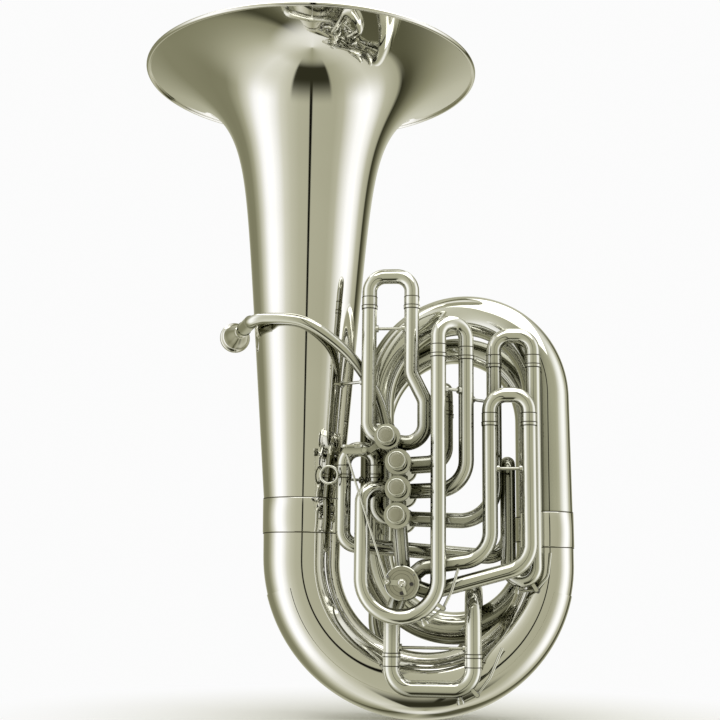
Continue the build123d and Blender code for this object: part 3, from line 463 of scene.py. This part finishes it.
def tube_loops(path, radius, steps=48):
    """Circles along a path, turned as little as possible from one to the next."""
    side = (path[1] - path[0]).orthogonal().normalized()
    loops = []
    for i, centre in enumerate(path):
        way = (path[min(i + 1, len(path) - 1)] - path[max(i - 1, 0)]).normalized()
        side = (side - way * side.dot(way)).normalized()
        loops.append([centre + spoke * radius for spoke in spokes(side, way.cross(side), steps)])
    return loops


def make_leadpipe():
    """One smooth arch from the receiver to the first valve."""
    casing_low, casing_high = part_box("valve_casing_1")
    casing = (casing_low + casing_high) / 2
    port = Vector((casing.x, -0.042, casing.z))
    last = at(0.104, -0.035, 0.474)
    path = smooth_path([
        receiver_mouth - run * shank_depth, receiver_mouth - run * 0.045, at(-0.043, -0.085, 0.5525),
        at(0.012, -0.088, 0.545), at(0.064, -0.062, 0.5105), at(0.098, -0.039, 0.468),
        last + (port - last) * 0.42, last + (port - last) * 0.86,
    ])
    loops = tube_loops(path, leadpipe_radius) + tube_loops(path, leadpipe_radius - leadpipe_wall)[::-1]
    verts, faces = loop_mesh(loops)
    piece = mesh_piece("leadpipe_arch", verts, faces, "horn", tubing)
    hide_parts("leadpipe")


def make_mouthpiece():
    """Turned cup and shank with a rounded rim and a ring at the waist."""
    rim_top, rim_r = 0.069, 0.0225
    cup_r, cup_wall, cup_depth, throat = 0.0163, 0.003, 0.033, 0.0041
    tip_z, tip_r, waist_r = 0.001 - shank_depth, 0.0063, 0.00685
    outer = [(tip_z, tip_r), (0.004, waist_r), (0.024, waist_r + 0.0012), (0.0245, waist_r + 0.0024),
             (0.0262, waist_r + 0.0026), (0.0268, waist_r + 0.0014), (0.033, 0.0106), (0.040, 0.0133),
             (0.048, 0.0160), (0.056, 0.0180), (rim_top - 0.0105, cup_r + cup_wall),
             (rim_top - 0.0100, rim_r - 0.0012), (rim_top - 0.0085, rim_r - 0.0002),
             (rim_top - 0.0078, rim_r - 0.0010), (rim_top - 0.0065, rim_r)]
    rim = [(rim_top - 0.0045, rim_r), (rim_top - 0.0022, rim_r - 0.0004), (rim_top - 0.0006, rim_r - 0.0016),
           (rim_top, rim_r - 0.0032), (rim_top - 0.0006, rim_r - 0.0048), (rim_top - 0.0025, cup_r)]
    cup = [(rim_top - cup_depth * share, cup_r * math.cos(math.asin(min(1, share))) * 0.98 + throat * share)
           for share in (0.2, 0.35, 0.5, 0.65, 0.8, 0.92)]
    bore = [(rim_top - cup_depth * 1.02, throat), (tip_z, throat + 0.001)]
    verts, faces = lathe(receiver_mouth, run, outer + rim + cup + bore, steps=96)
    piece = mesh_piece("mouthpiece_turned", verts, faces, "mouthpiece", silver, crease=50)
    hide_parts("mouthpiece")


# ---------------------------------------------------------------- valves
cap_radius, cap_front = 0.0174, 0.006
knurl_depth, knurl_teeth = 0.0006, 60


def knurled_ring(foot, axis, radius, height, depth, teeth):
    """Ring with fine ridges along its axis."""
    axis, side, other = across(axis)
    round_it = spokes(side, other, 2 * teeth)
    valley, ridge, inner = radius + depth * 0.35, depth * 0.65, radius - depth * 0.3
    loops = []
    for along, swell in ((0, 0), (height * 0.12, 1), (height * 0.88, 1), (height, 0)):
        reaches = [valley + ridge * swell * (i % 2) for i in range(2 * teeth)]
        loops.append([foot + axis * along + spoke * reach for spoke, reach in zip(round_it, reaches)])
    for along in (height, 0):
        loops.append([foot + axis * along + spoke * inner for spoke in round_it])
    return loop_mesh(loops)


def screw_head(foot, axis, radius, height, slot_share, steps=32):
    """Low domed head with a groove across the crown."""
    axis, side, other = across(axis)
    groove = 0.45
    loops = []
    for reach, lift in ((1.0, 0.0), (1.0, 0.45), (0.86, 0.8), (0.55, 0.97), (0.25, 1.0), (0.02, 1.0)):
        loop = []
        for i, spoke in enumerate(spokes(side, other, steps)):
            from_slot = abs(reach * math.sin(2 * math.pi * i / steps))
            cut = groove if from_slot < slot_share and lift > 0.5 else 0.0
            loop.append(foot + spoke * radius * reach + axis * height * (lift - cut))
        loops.append(loop)
    return capped_mesh(loops)


def make_valve_trim():
    """Satin button faces, knurled caps and the turned collars round the stems."""
    for number in range(1, 5):
        low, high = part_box(f"finger_button_{number}")
        centre = (low + high) / 2
        face = Vector((centre.x, low.y + 0.0008, centre.z))
        inlay = [(-0.0002, 0.0001), (0.0009, 0.0001), (0.00085, 0.005), (0.0006, 0.0086),
                 (0.0002, 0.00955), (-0.0002, 0.00955)]
        verts, faces = lathe(face, FRONT, inlay, steps=72)
        mesh_piece(f"button_face_{number}", verts, faces, f"valve_{number}", satin)
        cap_low, cap_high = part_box(f"valve_casing_{number}")
        axis_x, axis_z = (cap_low.x + cap_high.x) / 2, (cap_low.z + cap_high.z) / 2
        front_y, back_y = cap_low.y, cap_high.y
        for end, foot_y, height in (("top", front_y + 0.0085, 0.0075), ("bottom", back_y + 0.0045, 0.0110)):
            foot = Vector((axis_x, foot_y, axis_z))
            verts, faces = knurled_ring(foot, FRONT, cap_radius, height, knurl_depth, knurl_teeth)
            mesh_piece(f"{end}_cap_knurl_{number}", verts, faces, "horn", brushed_silver, 20)
        collar = [(0, 0.0032), (0.0005, 0.0032), (0.0008, 0.0040), (0.0006, 0.0066), (0.0003, 0.0070),
                  (0.0003, 0.0112), (0, 0.0120)]
        verts, faces = lathe(Vector((axis_x, front_y - cap_front, axis_z)), FRONT, collar, steps=64)
        mesh_piece(f"stem_collar_{number}", verts, faces, "horn", tubing)


def make_valve_springs():
    """Coil behind each piston; it rides on the horn and does not close up as the button is pressed."""
    wire, turns, per_turn, stroke = 0.0008, 7, 20, 0.017
    for number in range(1, 5):
        low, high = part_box(f"valve_spring_{number}")
        centre = (low + high) / 2
        coil_r = (high.x - low.x) / 2 - wire
        length = high.y - low.y - 2 * wire
        count = turns * per_turn
        path = []
        for i in range(count + 1):
            t = 2 * math.pi * i / per_turn
            path.append(Vector((centre.x + math.cos(t) * coil_r, low.y + wire + length * i / count,
                                centre.z + math.sin(t) * coil_r)))
        verts, faces = capped_mesh(tube_loops(path, wire, 10))
        coil = mesh_piece(f"spring_coil_{number}", verts, faces, "horn", steel)
        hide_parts(f"valve_spring_{number}")
        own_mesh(coil)


def make_rotor_trim():
    """Bevelled edge, scribed lines and screws of the front plate, hub screw and rod-end screws."""
    low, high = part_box("rotor_front_plate")
    hub = Vector(((low.x + high.x) / 2, low.y, (low.z + high.z) / 2))
    reach = (high.x - low.x) / 2
    bevel = [(0, reach - 0.0016), (0.0005, reach - 0.0014), (0.0006, reach - 0.0006),
             (0.0001, reach + 0.0002), (-0.0030, reach + 0.0003), (-0.0030, reach - 0.0003),
             (0, reach - 0.0006)]
    verts, faces = lathe(hub, FRONT, bevel, steps=96)
    mesh_piece("rotor_plate_bevel", verts, faces, "horn", tubing)
    scribed = [(hub, FRONT, 0.0125), (hub, FRONT, 0.0172)]
    # The scribed lines are dark rings: partly tarnished grooves, partly painted shade in them.
    rings("rotor_plate_lines", scribed, "horn", tarnish_and_shade_line, 0.0002, 0.00008, 96)
    for number, degrees in enumerate((35, 155, 275), 1):
        turn = math.radians(degrees)
        foot = hub + Vector((math.cos(turn), 0, math.sin(turn))) * 0.0198 - FRONT * 0.0002
        verts, faces = screw_head(foot, FRONT, 0.0013, 0.0012, 0.3)
        mesh_piece(f"rotor_plate_screw_{number}", verts, faces, "horn", steel)
    arm_low, arm_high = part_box("rotor")
    verts, faces = screw_head(Vector((hub.x, arm_low.y + 0.0001, hub.z)), FRONT, 0.0050, 0.0020, 0.22, 48)
    mesh_piece("rotor_hub_screw", verts, faces, "rotor", silver)
    rod_low, rod_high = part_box("linkage_rod")
    pin_low, pin_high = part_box("stop_arm")
    eye = 0.004
    lower = Vector((rod_high.x - eye, pin_low.y + 0.0001, rod_low.z + eye))
    verts, faces = screw_head(lower, FRONT, 0.0030, 0.0016, 0.3)
    mesh_piece("rod_screw_low", verts, faces, "rotor", silver)
    upper = Vector((rod_low.x + eye, rod_low.y, rod_high.z - eye))
    verts, faces = screw_head(upper + FRONT * 0.0002, FRONT, 0.0026, 0.0012, 0.3)
    mesh_piece("rod_screw_high", verts, faces, "linkage", silver)


# ---------------------------------------------------------------- slides and water keys
tube_radius, seat_high, ring_high = 0.0105, 0.012, 0.004


def make_slide_lines():
    """Dark lines where each slide's bow, its band and the sleeve's mouth ring end: partly tarnished seam, partly
    painted shade of the gap.
    """
    rows = [
        ("slide_1", 0.573, UP, tube_radius, ((0.100, -0.062), (0.160, -0.062))),
        ("slide_2", 0.420, UP, tube_radius, ((0.207, -0.070), (0.207, -0.040))),
        ("slide_3", 0.495, UP, tube_radius, ((0.200, -0.107), (0.237, -0.084))),
        ("slide_4", 0.490, UP, tube_radius, ((0.275, -0.047), (0.329, -0.047))),
        ("slide_4_return", 0.335, UP, tube_radius, ((0.064, -0.042), (0.110, -0.042))),
        ("slide_5", 0.403, UP, tube_radius, ((0.269, -0.084), (0.322, -0.084))),
        ("main_tuning_slide", 0.088, UP * -1, 0.0115, ((0.135, -0.060), (0.245, -0.060))),
    ]
    sleeves = []
    sleeve_wall, tuck = 0.0007, 0.0005
    for body, mouth_z, way, radius, legs in rows:
        line_radius = radius + line_thick * 0.5
        places = [(at(x, y, mouth_z) + way * seat_high, way, line_radius) for x, y in legs]
        rings(f"{body}_lines", places, body, tarnish_and_shade_line, line_thick, line_high)
        for x, y in legs:
            mouth = at(x, y, mouth_z)
            sleeves.append((mouth - way * tuck, way, radius + sleeve_wall))
            sleeves.append((mouth - way * (ring_high + line_high), way, line_radius))
    rings("sleeve_lines", sleeves, "horn", tarnish_and_shade_line, line_thick, line_high)


def make_key_springs():
    """Wire coil round each water key's barrel; its tail on the lever is not drawn."""
    barrel, barrel_long, wire, turns, per_turn = 0.0034, 0.0062, 0.00035, 5, 24
    for node in ("water_key_main", "water_key_third", "water_key_fourth"):
        joint = next(one for one in frame["joints"] if one["child"] == node)
        pivot = Vector(joint["pos_m"])
        path = []
        for i in range(turns * per_turn + 1):
            t = 2 * math.pi * i / per_turn
            along = (i / (turns * per_turn) - 0.5) * barrel_long
            path.append(pivot + Vector((math.cos(t) * barrel, along, math.sin(t) * barrel)))
        verts, faces = capped_mesh(tube_loops(path, wire, 8))
        mesh_piece(f"{node}_spring", verts, faces, node, steel)


# ---------------------------------------------------------------- lights, floor, camera
studio_power = 1.25
wall_tones = (
    (-180, 0.50), (-165, 0.42), (-152, 0.24), (-135, 0.22), (-120, 0.23), (-108, 0.38), (-95, 0.70),
    (-84, 1.04), (-75, 1.18), (-64, 1.12), (-54, 0.92), (-45, 0.70), (-33, 0.56), (-18, 0.47),
    (-2.6, 0.45), (-1.4, 0.004), (1.4, 0.004), (2.6, 0.45), (36, 0.43), (48, 0.50), (62, 0.86),
    (73, 1.10), (86, 1.16), (98, 0.88), (108, 0.52), (121, 0.40), (125, 0.03), (132, 0.08),
    (145, 0.28), (158, 0.52), (170, 0.62), (180, 0.50),
)
low_tones = (
    (-180, 0.40), (-160, 0.10), (-154, 0.05), (-148, 0.25), (-125, 0.42), (-105, 0.60),
    (-80, 0.78), (-55, 0.71), (-32, 0.55), (-28, 0.03), (28, 0.03), (32, 0.38), (50, 0.44),
    (85, 0.64), (105, 0.58), (122, 0.43), (128, 0.10), (165, 0.08), (180, 0.40),
)
down_tones = ((-180, 0.85), (-120, 0.75), (-60, 0.55), (0, 0.34), (60, 0.56), (120, 0.72), (180, 0.85))
up_tones = ((-180, 0.45), (-90, 0.80), (-20, 0.50), (20, 0.50), (90, 0.80), (180, 0.45))


def studio_tone(level):
    """Neutral when bright and olive when dark, as a share of the studio's full brightness."""
    warmth = 2 * max(1 - level, 0)
    share = level / studio_power
    return (share, share * (1 - 0.01 * warmth), share * (1 - 0.25 * warmth), 1)


def round_ramp(nodes, links, turn, tones):
    """Colour round the horizon from (degrees, brightness) stops."""
    ramp = nodes.new("ShaderNodeValToRGB")
    elements = ramp.color_ramp.elements
    while len(elements) < len(tones):
        elements.new(1.0)
    for element, (degrees, level) in zip(elements, tones):
        element.position = (degrees + 180) / 360
        element.color = studio_tone(level)
    links.new(turn, ramp.inputs["Fac"])
    return ramp.outputs["Color"]


def blend_by_height(nodes, links, height, start, end, at_start, at_end):
    """One colour turning into another between two heights of the view direction."""
    spread = nodes.new("ShaderNodeMapRange")
    spread.interpolation_type = "SMOOTHSTEP"
    spread.inputs["From Min"].default_value = start
    spread.inputs["From Max"].default_value = end
    links.new(height, spread.inputs["Value"])
    mix = nodes.new("ShaderNodeMix")
    mix.data_type = "RGBA"
    links.new(spread.outputs["Result"], mix.inputs["Factor"])
    links.new(at_start, mix.inputs[6])
    links.new(at_end, mix.inputs[7])
    return mix.outputs[2]


backdrop_white = (0.97, 0.97, 0.97, 1)


def make_studio(front_degrees):
    """Soft studio round the instrument: two broad soft boxes, grey walls and a narrow dark gap in front."""
    world = bpy.data.worlds.new("studio")
    world.use_nodes = True
    bpy.context.scene.world = world
    nodes, links = world.node_tree.nodes, world.node_tree.links
    place = nodes.new("ShaderNodeTexCoord")
    split = nodes.new("ShaderNodeSeparateXYZ")
    links.new(place.outputs["Generated"], split.inputs["Vector"])
    turn = nodes.new("ShaderNodeMath")
    turn.operation = "ARCTAN2"
    flip = nodes.new("ShaderNodeMath")
    flip.operation = "MULTIPLY"
    flip.inputs[1].default_value = -1.0
    links.new(split.outputs["Y"], flip.inputs[0])
    links.new(split.outputs["X"], turn.inputs[0])
    links.new(flip.outputs["Value"], turn.inputs[1])
    share = nodes.new("ShaderNodeMath")
    share.operation = "MULTIPLY_ADD"
    share.inputs[1].default_value = 1 / (2 * math.pi)
    share.inputs[2].default_value = 0.5 - front_degrees / 360
    links.new(turn.outputs["Value"], share.inputs[0])
    wrap = nodes.new("ShaderNodeMath")
    wrap.operation = "FRACT"
    links.new(share.outputs["Value"], wrap.inputs[0])
    turned = wrap.outputs["Value"]
    height = split.outputs["Z"]
    walls = round_ramp(nodes, links, turned, wall_tones)
    low = round_ramp(nodes, links, turned, low_tones)
    down = round_ramp(nodes, links, turned, down_tones)
    up = round_ramp(nodes, links, turned, up_tones)
    low = blend_by_height(nodes, links, height, -0.99, -0.94, down, low)
    walls = blend_by_height(nodes, links, height, -0.86, -0.52, low, walls)
    walls = blend_by_height(nodes, links, height, 0.45, 0.85, walls, up)
    around = nodes["Background"]
    around.inputs["Strength"].default_value = studio_power
    links.new(walls, around.inputs["Color"])
    seen = nodes.new("ShaderNodeBackground")
    seen.inputs["Color"].default_value = backdrop_white
    path = nodes.new("ShaderNodeLightPath")
    either = nodes.new("ShaderNodeMixShader")
    links.new(path.outputs["Is Camera Ray"], either.inputs["Fac"])
    links.new(around.outputs["Background"], either.inputs[1])
    links.new(seen.outputs["Background"], either.inputs[2])
    links.new(either.outputs["Shader"], nodes["World Output"].inputs["Surface"])


def make_floor():
    """Pale round floor under the instrument that fades into the backdrop's white."""
    radius, sink, steps = 12.0, 0.0005, 96
    shares = (1e-4, 0.02, 0.1, 0.3, 1.0)
    loops = [circle(Vector((0, 0, -sink)), UP, radius * share, steps) for share in shares]
    verts, faces = loop_mesh(loops, close_along=False)
    faces.append(tuple(range(steps)))
    mesh = bpy.data.meshes.new("floor")
    mesh.from_pydata([tuple(v) for v in verts], [], faces)
    material, nodes, links, shader = new_material("pale_floor")
    tone = ramp_of(nodes, links, noise_of(nodes, links, 3.0), (0.86, 0.86, 0.85), (0.90, 0.90, 0.89))
    links.new(tone, shader.inputs["Base Color"])
    shader.inputs["Roughness"].default_value = 0.7
    place = nodes.new("ShaderNodeTexCoord")
    reach = nodes.new("ShaderNodeVectorMath")
    reach.operation = "LENGTH"
    links.new(place.outputs["Object"], reach.inputs[0])
    fade = nodes.new("ShaderNodeMapRange")
    fade.interpolation_type = "SMOOTHSTEP"
    fade.inputs["From Min"].default_value = 0.05
    fade.inputs["From Max"].default_value = 0.7
    links.new(reach.outputs["Value"], fade.inputs["Value"])
    white = nodes.new("ShaderNodeEmission")
    white.inputs["Color"].default_value = backdrop_white
    either = nodes.new("ShaderNodeMixShader")
    links.new(fade.outputs["Result"], either.inputs["Fac"])
    links.new(shader.outputs["BSDF"], either.inputs[1])
    links.new(white.outputs["Emission"], either.inputs[2])
    links.new(either.outputs["Shader"], nodes["Material Output"].inputs["Surface"])
    mesh.materials.append(material)
    floor = bpy.data.objects.new("floor", mesh)
    bpy.context.scene.collection.objects.link(floor)
    floor.visible_glossy = False


def make_light(name, place, aim, size, power):
    """Square soft box."""
    data = bpy.data.lights.new(name, "AREA")
    data.shape = "SQUARE"
    data.size = size
    data.energy = power
    lamp = bpy.data.objects.new(name, data)
    lamp.location = place
    lamp.rotation_mode = "QUATERNION"
    lamp.rotation_quaternion = (Vector(aim) - Vector(place)).to_track_quat("-Z", "Y")
    bpy.context.scene.collection.objects.link(lamp)


camera_place = Vector((0.106, -1.803, 0.171))
camera_yaw, camera_pitch, camera_roll = math.radians(6.32), math.radians(10.49), math.radians(0.74)
camera_lens = 63.05


def make_camera():
    """Camera low in front, looking slightly up and to the left."""
    forward = Vector((-math.sin(camera_yaw) * math.cos(camera_pitch),
                      math.cos(camera_yaw) * math.cos(camera_pitch), math.sin(camera_pitch)))
    right = Vector((math.cos(camera_yaw), math.sin(camera_yaw), 0))
    up = right.cross(forward)
    side = right * math.cos(camera_roll) + up * math.sin(camera_roll)
    top = up * math.cos(camera_roll) - right * math.sin(camera_roll)
    data = bpy.data.cameras.new("camera")
    data.lens = camera_lens
    data.sensor_width = 36.0
    camera = bpy.data.objects.new("camera", data)
    camera.matrix_world = Matrix((
        (side.x, top.x, -forward.x, camera_place.x),
        (side.y, top.y, -forward.y, camera_place.y),
        (side.z, top.z, -forward.z, camera_place.z),
        (0, 0, 0, 1)))
    bpy.context.scene.collection.objects.link(camera)
    bpy.context.scene.camera = camera


make_bell()
make_bows()
make_guard()
make_ferrules()
make_leadpipe()
make_mouthpiece()
make_valve_trim()
make_valve_springs()
make_rotor_trim()
make_slide_lines()
make_key_springs()
to_camera = camera_place - at(0, 0, 0)
make_studio(math.degrees(math.atan2(to_camera.x, -to_camera.y)))
make_floor()
make_light("top_box", (0.2, -0.6, 3.2), (0, 0, 0), 4.0, 70.0)
make_camera()
bpy.context.scene.view_settings.view_transform = "Standard"
